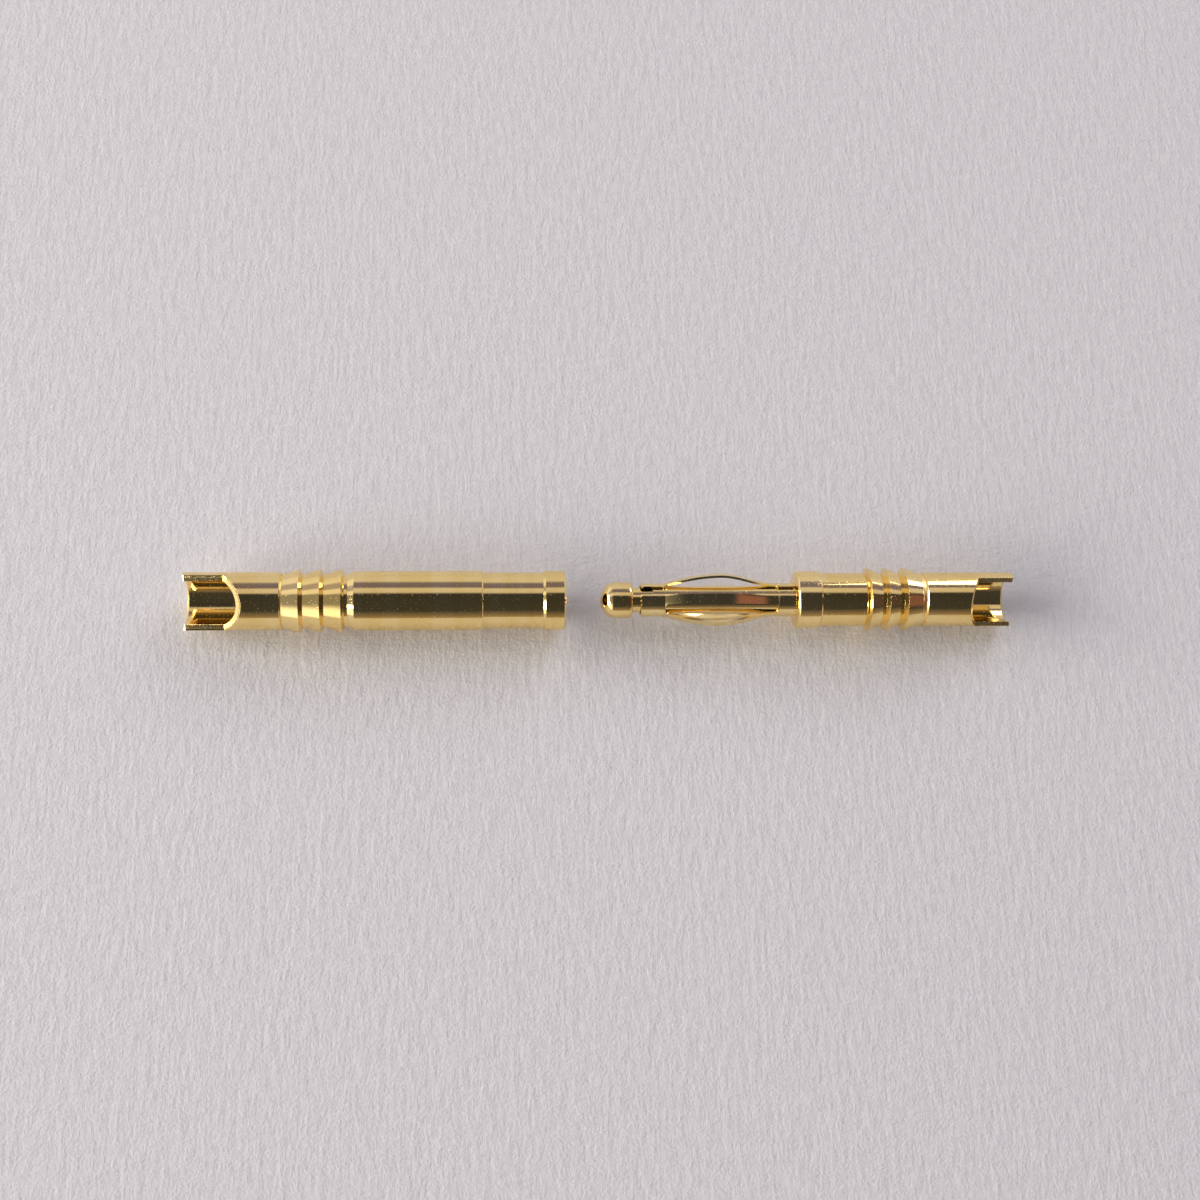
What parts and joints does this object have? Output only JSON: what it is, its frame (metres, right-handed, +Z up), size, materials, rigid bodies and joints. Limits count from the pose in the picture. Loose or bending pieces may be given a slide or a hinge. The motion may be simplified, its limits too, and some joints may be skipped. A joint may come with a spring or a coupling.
{
  "type": "battery lead connector",
  "caption": "Plug and socket of a gold-plated round power connector, with a spring cage on the pin and barbed solder cups for the leads.",
  "frame": {"origin": "centre of the row's box on the surface that it lies on", "axes": "+X along the common axis, from the socket's solder cup to the plug's; +Z up"},
  "size_m": [0.0698, 0.0054, 0.0054],
  "materials": {
    "gold_socket": "bright gold plate over turned brass",
    "gold_plug": "bright gold plate over turned brass",
    "gold_spring": "bright gold plate over rolled spring sheet"
  },
  "bodies": {
    "socket": {"socket_body": "gold_socket"},
    "plug": {"plug_body": "gold_plug", "spring_cage": "gold_spring"}
  },
  "joints": [
    {"name": "plug_slide", "type": "slide", "parent": "socket", "child": "plug", "axis": [-1, 0, 0], "range_m": [0, 0.01942], "deforming": ["spring_cage"]}
  ]
}
